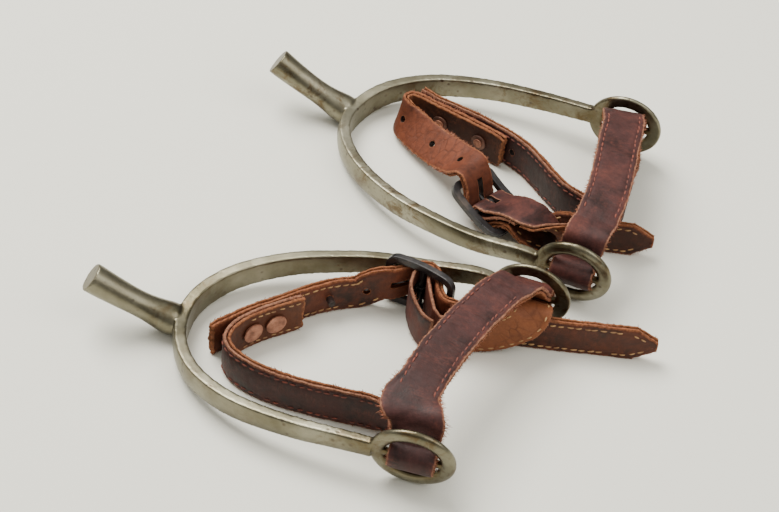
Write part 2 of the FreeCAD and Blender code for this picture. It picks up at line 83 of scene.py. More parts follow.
# punches, in millimetres: where a prong slot starts and ends along the billet from the buckle's bar, how far
# out its middle is, and how deep slots and holes are punched
BILLET_SLOT = (-9.5, -0.5)
CHAPE_SLOT = (-4.2, 2.3)
SLOT_MIDDLE_OUT = 3.0
SLOT_DEPTH = 14.0
HOLE_DEPTH = 9.0

# how deep the leather's grain face is worn and marked
EDGE_WEAR = 0.34
STITCH_DENT = 0.16
CREASE_DEPTH = 0.09

# how ragged the start of a ply is and how far along that reaches, and where a side edge has its points
RAGGED_END = 0.9
RAGGED_REACH = 2.0
SIDE_LEVELS = (0.25, 0.5, 0.75)

# how far the raw colour reaches in from a side edge and from an end
EDGE_FADE = 0.42
END_FADE = 0.7

# one stitch: its half width and half thickness, and the share of stitches worn away
STITCH_HALF_WIDTH = 0.33
STITCH_HALF_THICKNESS = 0.27
WORN_AWAY = 0.07

# metal discolouring: in a ring out to a radius and round its joint with the band; and painted shade on the
# neck's end face, which looks about the same way on both spurs
STAIN_RADIUS = 9.5
STAIN_FADE = 1.5
STAIN_REACH = 30.0
JOINT_FADE = 3.8
NECK_END_DEPTH = 12.0
NECK_END_AIM = V(-0.8, 0.15, 0.58).normalized()


# ---------- making objects ----------

def linked(name, data):
    """A new object in the scene."""
    made = bpy.data.objects.new(name, data)
    bpy.context.scene.collection.objects.link(made)
    return made


def smooth_faces(mesh):
    mesh.polygons.foreach_set("use_smooth", [True] * len(mesh.polygons))


def apply_modifiers(piece):
    """Gives a piece the mesh that its modifiers make, and takes them off."""
    bpy.context.view_layer.update()
    graph = bpy.context.evaluated_depsgraph_get()
    finished = bpy.data.meshes.new_from_object(piece.evaluated_get(graph), depsgraph=graph)
    piece.modifiers.clear()
    piece.data = finished


def above_table(point):
    """The point, raised to just above the table if it is lower."""
    return V(point.x, point.y, max(point.z, TABLE_CLEARANCE))


# ---------- places ----------

class Ring:
    """Axes of a strap ring: ahead along the branch, out from the boot, and up its leaning face."""

    def __init__(self, x, y, heading, side, lean):
        self.centre = V(x, y, RING_RADIUS)
        turn = math.radians(heading)
        tip = math.radians(lean)
        self.ahead = V(math.cos(turn), math.sin(turn))
        flat_out = V(-math.sin(turn), math.cos(turn)) * side
        self.out = flat_out * math.cos(tip) - UP * math.sin(tip)
        self.up = UP * math.cos(tip) + flat_out * math.sin(tip)

    def at(self, ahead, out, up):
        return self.centre + self.ahead * ahead + self.out * out + self.up * up


class Buckle:
    """Axes of a centre-bar buckle: along the billet, across it, and out on the convex side."""

    def __init__(self, centre, along, out):
        self.centre = centre
        self.along = along.normalized()
        self.out = (out - self.along * out.dot(self.along)).normalized()
        self.across = self.out.cross(self.along)

    def at(self, along, out, across=0.0):
        return self.centre + self.along * along + self.out * out + self.across * across


LEFT_NEAR = Ring(15.22, -102.53, -9.5, -1, 7.5)
LEFT_FAR = Ring(50.49, -23.78, -13.5, 1, -3.1)
RIGHT_NEAR = Ring(64.75, -10.80, -16.4, -1, 5.3)
RIGHT_FAR = Ring(84.19, 73.61, -15.4, 1, -5.9)
LEFT_BUCKLE = Buckle(V(11.7, -26.2, 11.6), V(0.908, -0.42), V(0.42, 0.908))
RIGHT_BUCKLE = Buckle(V(34.9, 26.7, 8.3), V(0.734, -0.611, -0.297), V(-0.28, 0.125, -0.952))


# ---------- strap routes: listed points, each with the direction across the strap ------------------

def through_ring_outwards(ring, across):
    """In at the lower opening, round the outside of the bar and back in over it."""
    turns = [(-3.6, -3.3), (-1.7, -3.2), (0, -3.2), (2.3, -2.3), (3.1, 0), (2.3, 2.3), (0, 3.2), (-1.6, 3.4)]
    return [(ring.at(0, out, up), across) for out, up in turns]


def left_main():
    near = LEFT_NEAR
    far = LEFT_FAR
    near_across = near.ahead * -1
    far_across = far.ahead * -1
    tab = [(-27.5, -40), (-34.5, -44.4), (-41, -48.8), (-46.3, -53.6), (-49.6, -58.6), (-50.2, -62.8),
           (-48, -67), (-44, -70.3), (-38, -73.4), (-30, -76), (-20, -78), (-8, -79.6)]
    route = [(V(x, y, 8), UP) for x, y in tab]
    route += [(V(0, -80.8, 8.4), UP), (V(7, -83.2, 8.9), V(-.3, -.1, .9)),
              (V(12, -87.5, 9.6), V(-.7, -.3, .6)),
              (V(15.2, -93.5, 10.4), V(-.98, .1, .15))]
    route += through_ring_outwards(near, near_across)
    route += [(near.at(-.2, -3.8, 5.2), near_across), (near.at(-.7, -5.4, 8.6), near_across),
              (near.at(-1.3, -7.4, 11.8), V(-.98, .2, 0)), (V(13.6, -90, 28.6), V(-.96, .28, .03)),
              (V(15.8, -82.5, 29.5), V(-.93, .36, .03)), (V(20, -72, 29.3), V(-.91, .41, .03)),
              (V(25.8, -60, 28.8), V(-.9, .43, .02)), (V(33, -47, 27.9), V(-.9, .43, 0)),
              (V(40.4, -35.8, 27), V(-.9, .42, 0)), (far.at(-3, -7, 11.3), V(-.94, .34, 0)),
              (far.at(-1.6, -5.4, 8.2), V(-.96, .28, 0)), (far.at(-.4, -3.8, 5.1), far_across)]
    route += list(reversed(through_ring_outwards(far, far_across)))
    route += [(V(49.8, -29.4, 13.6), V(-.96, .25, 0)), (V(50, -30.9, 16.8), V(-.95, .28, 0)),
              (V(50.2, -35.1, 18.5), V(-.93, .33, .1)), (V(48.6, -38.9, 16.2), V(-.76, .05, .6)),
              (V(44.4, -39.5, 12.2), V(-.62, 0, .75)), (V(40, -39.9, 9.6), V(-.3, 0, .95)),
              (V(35, -40.5, 8.3), UP), (V(30, -41.2, 8), UP), (V(24.5, -41.9, 8), UP),
              (V(19.5, -42.3, 8.2), UP)]
    return route


def left_chape():
    """The outer ply alone, from the end of the lining round the buckle bar and back."""
    turns = [(9.8, -8.2), (6.6, -4.6), (4.3, -1.6), (2.9, 0.5), (1.9, 3.1), (0, 4.1), (-1.9, 3.1),
             (-2.6, 1.2),
             (-2.4, -1.2), (-1.2, -4.6), (1.5, -8), (5, -11), (9, -13.1), (12.4, -13.6)]
    drop = 3.3 / 12
    return [(LEFT_BUCKLE.at(a, c) + UP * min(0, drop * c), UP) for a, c in turns]


def left_billet():
    start = [(-56.3, -57.2), (-51, -52.5), (-44.5, -47), (-37.8, -42.4), (-30, -37), (-23, -32.4), (-16, -29),
             (-9, -26.6)]
    route = [(V(x, y, 7.6), UP) for x, y in start]
    turns = [(-12.4, -4.5), (-9.3, -2.2), (-5.4, 2.8), (-2.6, 6.0), (0, 7.0), (2.6, 6.2), (5.4, 3.1),
             (8.9, -2),
             (12.2, -4.5), (16, -4)]
    route += [(LEFT_BUCKLE.at(a, c), UP) for a, c in turns]
    route += [(V(30, -36.6, 9), UP)]
    tail = [(36, -36.1), (42, -35.5), (48, -35.1), (56, -35.1), (66, -35), (78, -34.6), (88, -34.5),
            (96, -34.5)]
    route += [(V(x, y, 7.4), UP) for x, y in tail]
    return route


def right_main():
    near = RIGHT_NEAR
    far = RIGHT_FAR
    band = [(10, 75), (20, 70.2), (30, 65.2), (39, 59.8), (46, 54), (52, 46.5), (57.5, 38.8), (63, 32.5),
            (69.5, 28.6), (76, 27.6), (81.6, 30), (84.3, 35)]
    route = [(V(4.8, 78.6, 8.2), UP)]
    route += [(V(x, y, 8), UP) for x, y in band]
    route += [(V(83.8, 41.5, 8.3), V(.3, 0, 1)), (V(82.6, 50, 9), V(.8, .2, .6)),
              (V(82.8, 60, 10.2), V(1, -.2, .2))]
    route += through_ring_outwards(far, far.ahead)
    route += [(far.at(-.1, -3.6, 4.9), far.ahead), (far.at(-.5, -5, 8.5), far.ahead),
              (far.at(-1, -6.8, 11.6), V(1, -.15, .05)), (V(81, 58, 28.1), V(1, -.06, 0)),
              (V(79, 45, 29), V(1, -.03, 0)), (V(77, 30, 29.3), V(1, -.06, 0)),
              (V(74.4, 15, 28.9), V(.97, -.15, 0)),
              (V(70.6, 2, 28.1), V(.96, -.2, 0)), (near.at(1, -6.8, 12), V(.97, -.2, 0)),
              (near.at(.7, -5.2, 8.5), near.ahead), (near.at(.2, -3.6, 4.9), near.ahead)]
    route += list(reversed(through_ring_outwards(near, near.ahead)))
    route += [(V(65.3, -1.2, 11.8), V(.85, .1, .5)), (V(62.8, 5.2, 13.2), V(.3, .1, .95)),
              (V(58.6, 9.4, 14.1), V(-.3, -.6, .75)), (V(54, 12.6, 13.9), V(-.55, -.75, .3)),
              (RIGHT_BUCKLE.at(15.8, -11), RIGHT_BUCKLE.across)]
    return route


def right_chape():
    """The outer ply alone: over the buckle bar, round it and back underneath."""
    turns = [(12, -10), (9, -8.2), (5.5, -5), (2.6, -2.2), (0.3, -0.8), (-1.5, 0), (-2.1, 1.5), (-1.5, 3),
             (0, 3.6), (2.6, 2.5), (4.8, 0), (7, -3.3), (9.2, -6), (12, -8), (14.6, -9.2)]
    return [(RIGHT_BUCKLE.at(a, c), RIGHT_BUCKLE.across) for a, c in turns]


def right_billet():
    across = RIGHT_BUCKLE.across * -1
    route = [(V(38, 55.9, 8), UP), (V(31, 60.2, 8), UP), (V(24, 64.2, 8), UP), (V(16, 68.4, 8), UP),
             (V(9, 71.8, 8.2), UP), (V(4, 74, 8.4), V(.05, .05, 1)), (V(.4, 74.4, 8.4), V(.12, .12, 1)),
             (V(-1.8, 72.2, 8.4), V(.2, .25, 1)), (V(-1.4, 68.4, 8.4), V(.26, .32, .95)),
             (V(1.4, 64.8, 8.4), V(.36, .48, .8)), (V(6, 59.6, 8.4), V(.44, .58, .72)),
             (V(11.2, 53.8, 8.8), V(.5, .6, .7)), (V(16, 48.4, 10.2), V(.55, .62, .6)),
             (V(20.8, 42.4, 12.6), V(.6, .7, .4))]
    turns = [(-12.4, -4.4), (-9.3, -2.2), (-5.4, 2.8), (-2.6, 5.5), (0, 6.05), (2.6, 5.75),
             (5.5, 3.9), (8.9, -1.7),
             (12.2, -4.5)]
    route += [(RIGHT_BUCKLE.at(a, c), across) for a, c in turns]
    route += [(V(50.4, 16.3, 7), V(.6, .74, .22)), (V(56.5, 16.3, 5.6), V(.54, .7, .42)),
              (V(62.5, 17.2, 7.5), V(.3, .4, .85)), (V(68.5, 17.4, 7.4), V(.1, .1, 1))]
    route += [(V(x, 17.3, 7.5), UP) for x in (76, 83, 90, 95.5)]
    return route


def smooth(stations):
    """Points about a mesh step apart on a smooth curve through the stations, each with its way across."""
    points = [point for point, across in stations]
    acrosses = [across.normalized() for point, across in stations]
    spans = [(points[i + 1] - points[i]).length for i in range(len(points) - 1)]
    slopes = [(points[i + 1] - points[i]) / spans[i] for i in range(len(spans))]
    tangents = [slopes[0]]
    for i in range(1, len(spans)):
        tangents.append((slopes[i - 1] * spans[i] + slopes[i] * spans[i - 1]) / (spans[i - 1] + spans[i]))
    tangents.append(slopes[-1])
    route = []
    for i, span in enumerate(spans):
        count = max(1, round(span / MESH_STEP))
        for k in range(count):
            t = k / count
            point = points[i] * (2 * t**3 - 3 * t**2 + 1) + points[i + 1] * (3 * t**2 - 2 * t**3)
            point += tangents[i] * (span * (t**3 - 2 * t**2 + t)) + tangents[i + 1] * (span * (t**3 - t**2))
            route.append((point, acrosses[i] * (1 - t) + acrosses[i + 1] * t))
    route.append((points[-1], acrosses[-1]))
    return route


def framed(stations):
    """The smooth route's points, each with its travel, across and grain directions and distance walked."""
    route = smooth(stations)
    reach = 2
    walked = 0.0
    frames = []
    for i, (point, across) in enumerate(route):
        if i:
            walked += (point - route[i - 1][0]).length
        travel = (route[min(i + reach, len(route) - 1)][0] - route[max(i - reach, 0)][0]).normalized()
        square = (across - travel * across.dot(travel)).normalized()
        frames.append((point, travel, square, travel.cross(square), walked))
    return frames


def at_distance(frames, distance):
    """The frame nearest a distance from the start of a strap."""
    return min(frames, key=lambda item: abs(item[4] - distance))


# ---------- leather ----------

def random_at(seed, *where):
    """Smooth noise, about -1 to 1, at a place in its own pattern."""
    x, y, z = (list(where) + [0.0, 0.0])[:3]
    return noise.noise(Vector((x + 17.3 * seed, y - 9.1 * seed, z + 3.7 * seed)))


def tone_at(tones, distance):
    """Straight-line value between (distance, value) pairs."""
    if distance <= tones[0][0]:
        return tones[0][1]
    for (a, low), (b, high) in zip(tones, tones[1:]):
        if distance <= b:
            return low + (high - low) * (distance - a) / (b - a)
    return tones[-1][1]


def section_columns(half):
    """Places across one face, closer together at the edges and the stitch rows."""
    inner = 11
    edge = [half, half - 0.25, half - 0.6, half - 1.0, half - 1.45, half - 1.9, half - 2.4, half - 3.0]
    middle = [(half - 3.0) * (1 - 2 * k / inner) for k in range(1, inner)]
    return edge + middle + [-value for value in reversed(edge)]


class Ply:
    """One layer of leather along a route, with its raw edges, wear and stitch dents."""

    def __init__(self, name, frames, width, low, high, seed, tones, runs, tip, flares):
        self.name = name
        self.frames = frames
        self.width = width
        self.low = low
        self.high = high
        self.seed = seed
        self.tones = tones
        self.runs = runs
        self.tip = tip
        self.flares = flares

    def half_width(self, distance, side):
        """From the middle to one frayed edge, narrower at the tip and wider at a torn corner."""
        length = self.frames[-1][4]
        half = self.width / 2
        if self.tip:
            half *= min(1.0, 0.3 + 0.7 * (length - distance) / self.tip)
        fray = 0.3 * random_at(self.seed + side, distance * 0.16)
        fray += 0.24 * random_at(self.seed + side, distance * 0.9)
        fray += 0.16 * random_at(self.seed + side, distance * 2.9)
        for centre, spread, flared_side, amount in self.flares:
            if side == flared_side:
                fray += amount * math.exp(-((distance - centre) / spread)**2)
        end = max(0.0, 1 - distance / 3.0)
        fray -= RAGGED_END * end * (0.5 + random_at(self.seed, distance * 0.7, side))
        return half - 0.2 + fray

    def stitched(self, distance):
        """1 along a row of thread, fading to 0 within a millimetre of its ends."""
        inside = [min(distance - start, end - distance) for start, end in self.runs]
        return max([0.0] + [min(1.0, max(0.0, depth + 1.0)) for depth in inside])

    def grain_height(self, distance, across, half):
        """The grain face: domed at its edges, creased across, and pulled down along the thread."""
        inward = half - abs(across)
        height = self.high - EDGE_WEAR * math.exp(-inward / 0.32) - 0.1 * math.exp(-inward / 1.3)
        height -= STITCH_DENT * self.stitched(distance) * math.exp(-((inward - STITCH_EDGE) / 0.5)**2)
        height += 0.07 * random_at(self.seed + 5, distance * 0.22, across * 0.3)
        crease = random_at(self.seed + 9, distance * 0.75, across * 0.13)
        height -= CREASE_DEPTH * max(0.0, 1 - abs(crease) * 7)
        height += 0.03 * random_at(self.seed + 2, distance * 2.1, across * 2.1)
        return height

    def flesh_height(self, distance, across, half):
        """The flesh face: rounded at its edges and rough."""
        inward = half - abs(across)
        height = self.low + 0.2 * math.exp(-inward / 0.3)
        height += 0.05 * random_at(self.seed + 7, distance * 0.5, across * 0.5)
        return height + 0.03 * random_at(self.seed + 8, distance * 2.5, across * 2.5)

    def bulge(self, distance, level, pattern):
        """How far a raw side edge stands out at a level of its thickness."""
        rough = random_at(self.seed + pattern, distance * 1.7, level * 3)
        return 0.16 * math.sin(math.pi * level) + 0.12 * rough

    def start_cut(self, distance, value, height):
        """How far the ragged start of the ply is torn back or stands out."""
        if distance >= RAGGED_REACH:
            return 0.0
        return RAGGED_END * random_at(self.seed + 6, value * 0.8, height) * (1 - distance / RAGGED_REACH)

    def section(self, distance, half):
        """The ply's outline at one frame: grain face, one side edge, flesh face, other side edge."""
        thick = self.high - self.low
        columns = section_columns(half)
        row = [(value, self.grain_height(distance, value, half), 1.0) for value in columns]
        row += [(-half - self.bulge(distance, level, 3), self.low + thick * level, 0.5)
                for level in reversed(SIDE_LEVELS)]
        row += [(value, self.flesh_height(distance, value, half), 0.0) for value in reversed(columns)]
        row += [(half + self.bulge(distance, level, 4), self.low + thick * level, 0.5)
                for level in SIDE_LEVELS]
        return row

    def build(self, material):
        """The ply's mesh object, with its sections placed along the route."""
        rows = []
        for point, travel, across, grain, distance in self.frames:
            half_left = self.half_width(distance, -1)
            half_right = self.half_width(distance, 1)
            half = (half_left + half_right) / 2
            shift = (half_right - half_left) / 2
            placed = []
            for value, height, face in self.section(distance, half):
                cut_back = self.start_cut(distance, value, height)
                place = point + across * (value + shift) + grain * height + travel * cut_back
                placed.append((place, value, half, face, distance))
            rows.append(placed)
        return self.make_object(rows, material)

    def make_object(self, rows, material):
        around = len(rows[0])
        vertices = [(above_table(item[0]) - PAIR_MIDDLE) * MM for row in rows for item in row]
        faces = []
        for i in range(len(rows) - 1):
            here = i * around
            there = here + around
            for k in range(around):
                after = (k + 1) % around
                faces.append((here + k, here + after, there + after, there + k))
        faces += self.end_faces(0, around, True)
        faces += self.end_faces((len(rows) - 1) * around, around, False)
        mesh = bpy.data.meshes.new(self.name)
        mesh.from_pydata([tuple(v) for v in vertices], [], faces)
        self.mark(mesh, rows)
        mesh.validate()
        piece = linked(self.name, mesh)
        smooth_faces(mesh)
        mesh.materials.append(material)
        mesh.materials.append(SHADED_HOLE_WALL)
        return piece

    def end_faces(self, base, around, flip):
        """The faces that close one end of the ply, from the vertex where its section starts."""
        columns = (around - 2 * len(SIDE_LEVELS)) // 2
        top = [base + k for k in range(columns)]
        bottom = [base + around - len(SIDE_LEVELS) - 1 - k for k in range(columns)]
        faces = [(top[k], top[k + 1], bottom[k + 1], bottom[k]) for k in range(columns - 1)]
        faces.append((top[-1], base + columns, base + columns + 1, base + columns + 2, bottom[-1]))
        faces.append((bottom[0], base + around - 3, base + around - 2, base + around - 1, top[0]))
        return [tuple(reversed(face)) for face in faces] if flip else faces

    def mark(self, mesh, rows):
        """Stores raw edge, face, tone and stitching at each vertex, and its place on the strap."""
        layer = mesh.attributes.new("leather", "FLOAT_COLOR", "POINT")
        place = mesh.attributes.new("strap_place", "FLOAT_VECTOR", "POINT")
        length = rows[-1][0][4]
        corners = [corner for row in rows for corner in row]
        for index, (_, value, half, face, distance) in enumerate(corners):
            inward = half - abs(value)
            edge = 1.0 if face == 0.5 else math.exp(-max(0.0, inward) / EDGE_FADE)
            end = max(math.exp(-distance / END_FADE), math.exp(-(length - distance) / END_FADE))
            raw = min(1.0, max(edge, end))
            tone = (tone_at(self.tones, distance) + 1) / 2
            layer.data[index].color = (raw, face, tone, self.stitched(distance))
            place.data[index].vector = (distance * MM, value * MM, face * 0.01)


def punch_object(name, work, place):
    """A scratch object that cuts a hole and leaves the hole wall, painted near black as shade, on what it
    cuts.
    """
    for face in work.faces:
        face.material_index = 1
    mesh = bpy.data.meshes.new(name)
    work.to_mesh(mesh)
    work.free()
    mesh.materials.append(None)
    mesh.materials.append(SHADED_HOLE_WALL)
    punch = linked(name, mesh)
    punch.matrix_world = place
    return punch


def hole_cutter(name, point, axis):
    """The round punch for one buckle hole."""
    work = bmesh.new()
    bmesh.ops.create_cone(work, cap_ends=True, segments=20, radius1=HOLE_RADIUS, radius2=HOLE_RADIUS,
                          depth=HOLE_DEPTH)
    turn = axis.to_track_quat("Z", "Y").to_matrix().to_4x4()
    place = Matrix.Translation((point - PAIR_MIDDLE) * MM) @ turn @ Matrix.Scale(MM, 4)
    return punch_object(name, work, place)


def slot_cutter(name, buckle, back, front):
    """The punch for the slot that the prong passes through."""
    work = bmesh.new()
    bmesh.ops.create_cube(work, size=1.0)
    turn = Matrix((buckle.along, buckle.across, buckle.out)).transposed().to_4x4()
    size = Matrix.Diagonal((front - back, 2 * SLOT_HALF_WIDTH, SLOT_DEPTH, 1.0))
    middle = (buckle.at((back + front) / 2, SLOT_MIDDLE_OUT) - PAIR_MIDDLE) * MM
    return punch_object(name, work, Matrix.Translation(middle) @ turn @ Matrix.Scale(MM, 4) @ size)


def cut(piece, punches):
    """Cuts scratch objects out of a piece for good."""
    for punch in punches:
        modifier = piece.modifiers.new("cut", "BOOLEAN")
        modifier.operation = "DIFFERENCE"
        modifier.solver = "EXACT"
        modifier.object = punch
    apply_modifiers(piece)
    for punch in punches:
        bpy.data.objects.remove(punch)


def fibres(name, plies, material, seed):
    """Loose leather fibres along the raw edges, thick in the worn stretches and sparse elsewhere."""
    source = random.Random(seed)
    vertices = []
    faces = []
    two_each_side = (-1, -1, 1, 1)
    for ply in plies:
        for point, travel, across, grain, distance in ply.frames:
            for side in two_each_side:
                worn = 0.5 + random_at(ply.seed + 20, distance * 0.09, side * 2.0) * 1.2
                worn += sum(math.exp(-((distance - centre) / spread)**2)
                            for centre, spread, _, _ in ply.flares)
                if source.random() > 0.95 * worn:
                    continue
                out = ply.half_width(distance, side)
                root = point + across * (side * out) + grain * source.uniform(ply.low + 0.1, ply.high - 0.3)
                aim = across * side + travel * source.uniform(-0.9, 0.9) + grain * source.uniform(-0.5, 0.9)
                tip = root + aim.normalized() * source.uniform(0.4, 0.7 + 1.1 * max(0.0, worn))
                radius = source.uniform(0.07, 0.15)
                corners = (root + travel * radius, root - travel * radius + grain * radius,
                           root - travel * radius - grain * radius, tip)
                a, b, c, d = range(len(vertices), len(vertices) + 4)
                vertices += [above_table(corner) for corner in corners]
                faces += [(a, b, d), (b, c, d), (c, a, d), (a, c, b)]
    mesh = bpy.data.meshes.new(name)
    mesh.from_pydata([tuple((vertex - PAIR_MIDDLE) * MM) for vertex in vertices], [], faces)
    mesh.materials.append(material)
    return linked(name, mesh)


# ---------- thread ----------

def thread_rows(name, frames, width, runs, material, seed, face=GRAIN_FACE, tip=0.0):
    """Both edge rows of thread: each stitch a small sunk, slightly slanted strand, a few worn away."""
    length_of_strap = frames[-1][4]
    source = random.Random(seed)
    work = bmesh.new()
    for start, end in runs:
        for i in range(int((end - start) / STITCH_PITCH)):
            for side in (-1, 1):
                jitter = source.uniform(-0.25, 0.25)
                slant = source.uniform(-0.12, 0.12) + 0.1
                if source.random() < WORN_AWAY:
                    continue
                distance = start + (i + 0.5) * STITCH_PITCH + jitter
                point, travel, across, grain, walked = at_distance(frames, distance)
                half = width / 2
                if tip and length_of_strap - walked < tip:
                    half *= 0.3 + 0.7 * (length_of_strap - walked) / tip
                    slant = -side * 0.7 * width / 2 / tip
                middle = point + across * (side * (half - STITCH_EDGE) + source.uniform(-0.12, 0.12))
                middle += grain * (face - math.copysign(0.02, face))
                along = (travel + across * slant).normalized()
                aside = grain.cross(along)
                made = bmesh.ops.create_uvsphere(work, u_segments=10, v_segments=8, radius=1.0)
                half_length = source.uniform(1.05, 1.25)
                axes = (along * half_length, aside * STITCH_HALF_WIDTH, grain * STITCH_HALF_THICKNESS)
                basis = Matrix(axes).transposed()
                for vertex in made["verts"]:
                    local = vertex.co.copy()
                    vertex.co = middle + basis @ local - grain * math.copysign(0.16 * local.x**2, face)
    bmesh.ops.translate(work, verts=work.verts, vec=-PAIR_MIDDLE)
    bmesh.ops.scale(work, verts=work.verts, vec=(MM, MM, MM))
    mesh = bpy.data.meshes.new(name)
    work.to_mesh(mesh)
    work.free()
    smooth_faces(mesh)
    mesh.materials.append(material)
    return linked(name, mesh)


# ---------- metal ----------

def softened(node, voxel, rounds, material):
    """A CAD node's shape with cast, hand-finished edges: remeshed finely and smoothed a little."""
    piece = linked(node + "_finished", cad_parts[node].data.copy())
    remesh = piece.modifiers.new("remesh", "REMESH")
    remesh.mode = "VOXEL"
    remesh.voxel_size = voxel * MM
    relax = piece.modifiers.new("relax", "SMOOTH")
    relax.factor = 0.5
    relax.iterations = rounds
    apply_modifiers(piece)
    piece.data.materials.clear()
    piece.data.materials.append(material)
    smooth_faces(piece.data)
    return piece


def tarnish_and_shade(piece, rings):
    """Marks where the metal is discoloured, in each ring and where it joins the band, and paints shade onto
    the neck's end face.
    """
    neck_end = min(vertex.co.x for vertex in piece.data.vertices) / MM + PAIR_MIDDLE.x
    layer = piece.data.attributes.new("tarnish_and_shade", "FLOAT", "POINT")
    for index, vertex in enumerate(piece.data.vertices):
        place = vertex.co / MM + PAIR_MIDDLE
        # painted shade: the neck's end face, found by the way it faces, is darkened like the discoloured
        # rings
        on_end = place.x < neck_end + NECK_END_DEPTH and vertex.normal.dot(NECK_END_AIM) > 0.85
        amount = 0.6 if on_end else 0.0
        for ring in rings:
            offset = place - ring.centre
            if offset.length > STAIN_REACH:
                continue
            flat = math.hypot(offset.dot(ring.ahead), offset.dot(ring.up))
            inside = 0.85 * max(0.0, 1 - max(0.0, flat - STAIN_RADIUS) / STAIN_FADE)
            joint = 0.9 * math.exp(-(place - ring.at(-RING_RADIUS, 0, 0)).length / JOINT_FADE)
            amount = max(amount, inside, joint)
        layer.data[index].value = amount


# ---------- materials ----------

class Nodes:
    """A new material with short ways to add and join its nodes."""

    def __init__(self, name):
        self.material = bpy.data.materials.new(name)
        self.material.use_nodes = True
        self.tree = self.material.node_tree
        self.shader = self.tree.nodes["Principled BSDF"]

    def add(self, kind, **values):
        node = self.tree.nodes.new("ShaderNode" + kind)
        for key, value in values.items():
            if key in node.inputs:
                node.inputs[key].default_value = value
            else:
                setattr(node, key, value)
        return node

    def join(self, source, target):
        self.tree.links.new(source, target)

    def place(self, scale):
        """Object coordinates, in metres, times a scale for each axis."""
        coordinates = self.add("TexCoord")
        mapping = self.add("Mapping")
        mapping.inputs["Scale"].default_value = scale
        self.join(coordinates.outputs["Object"], mapping.inputs["Vector"])
        return mapping.outputs["Vector"]

    def strap_place(self, scale):
        """Place on the strap: along, across and face, times a scale for each."""
        attribute = self.add("Attribute", attribute_name="strap_place")
        mapping = self.add("Mapping")
        mapping.inputs["Scale"].default_value = scale
        self.join(attribute.outputs["Vector"], mapping.inputs["Vector"])
        return mapping.outputs["Vector"]

    def noise(self, vector, scale, detail=4.0, rough=0.55, distortion=0.0):
        texture = self.add("TexNoise", Scale=scale, Detail=detail, Roughness=rough, Distortion=distortion)
        self.join(vector, texture.inputs["Vector"])
        return texture.outputs["Fac"]

    def ramp(self, value, stops):
        ramp = self.add("ValToRGB")
        elements = ramp.color_ramp.elements
        while len(elements) < len(stops):
            elements.new(0.5)
        for element, (position, color) in zip(elements, stops):
            element.position = position
            element.color = tuple(color) + (1.0,)
        self.join(value, ramp.inputs["Fac"])
        return ramp.outputs["Color"]

    def level(self, value, low, high, out_low=0.0, out_high=1.0):
        node = self.add("MapRange")
        node.inputs["From Min"].default_value = low
        node.inputs["From Max"].default_value = high
        node.inputs["To Min"].default_value = out_low
        node.inputs["To Max"].default_value = out_high
        self.join(value, node.inputs["Value"])
        return node.outputs["Result"]

    def math(self, operation, a, b):
        node = self.add("Math", operation=operation)
        for socket, value in zip(node.inputs, (a, b)):
            if isinstance(value, (int, float)):
                socket.default_value = value
            else:
                self.join(value, socket)
        return node.outputs["Value"]

    def mix(self, share, a, b):
        node = self.add("Mix", data_type="RGBA")
        sockets = {socket.identifier: socket for socket in node.inputs}
        for key, value in (("Factor_Float", share), ("A_Color", a), ("B_Color", b)):
            if isinstance(value, (int, float)):
                sockets[key].default_value = value
            elif isinstance(value, tuple):
                sockets[key].default_value = value + (1.0,)
            else:
                self.join(value, sockets[key])
        return next(socket for socket in node.outputs if socket.identifier == "Result_Color")

    def bump(self, height, strength, distance, after=None):
        node = self.add("Bump", Strength=strength)
        node.inputs["Distance"].default_value = distance * MM
        self.join(height, node.inputs["Height"])
        if after is not None:
            self.join(after, node.inputs["Normal"])
        return node.outputs["Normal"]

    def finish(self, color, rough, normal):
        for name, value in (("Base Color", color), ("Roughness", rough), ("Normal", normal)):
            self.join(value, self.shader.inputs[name])
        return self.material


def nickel():
    """Worn nickel: warm satin grey, fine scratches, brown blotches, discoloured rings, painted shade on the
    neck's end face and dark pits.
    """
    make = Nodes("worn_nickel")
    make.shader.inputs["Metallic"].default_value = 1.0
    place = make.place((1, 1, 1))
    cloud = make.noise(place, 45, 5, 0.6)
    color = make.ramp(cloud, [(0.32, (0.118, 0.105, 0.066)), (0.5, (0.2, 0.184, 0.128)),
                              (0.68, (0.3, 0.283, 0.212))])
    brown = make.level(make.noise(place, 150, 6, 0.75, 0.6), 0.47, 0.62)
    patches = make.level(make.noise(place, 30, 3), 0.4, 0.58)
    blotches = make.math("MULTIPLY", make.math("MULTIPLY", brown, patches), 0.9)
    color = make.mix(blotches, color, (0.105, 0.07, 0.034))
    # discolouring in the rings and at their joints, and painted shade on the neck's end face
    attribute = make.add("Attribute", attribute_name="tarnish_and_shade")
    uneven = make.level(make.noise(place, 170, 5, 0.7), 0.2, 0.45)
    stain_and_shade = make.math("MULTIPLY", attribute.outputs["Fac"], uneven)
    color = make.mix(stain_and_shade, color, (0.1, 0.075, 0.035))
    pits = make.add("TexVoronoi", feature="F1", Scale=330.0)
    make.join(place, pits.inputs["Vector"])
    spots = make.level(pits.outputs["Distance"], 0.12, 0.3, 1.0, 0.0)
    rare = make.level(make.noise(place, 110, 2), 0.5, 0.6)
    pitted = make.math("MULTIPLY", spots, rare)
    color = make.mix(make.math("MULTIPLY", pitted, 0.85), color, (0.09, 0.07, 0.05))
    scratches = make.noise(make.place((1.0, 14.0, 9.0)), 150, 3, 0.7)
    across = make.noise(make.place((13.0, 1.0, 6.0)), 140, 3, 0.7)
    fine = make.math("ADD", scratches, across)
    rough = make.level(make.math("ADD", make.math("MULTIPLY", fine, 0.5), cloud), 0.6, 1.4, 0.24, 0.5)
    normal = make.bump(fine, 0.22, 0.05)
    normal = make.bump(make.noise(place, 320, 4, 0.6), 0.3, 0.09, normal)
    normal = make.bump(make.noise(place, 60, 2), 0.4, 0.3, normal)
    normal = make.bump(make.math("SUBTRACT", 1.0, pitted), 0.5, 0.12, normal)
    return make.finish(color, rough, normal)


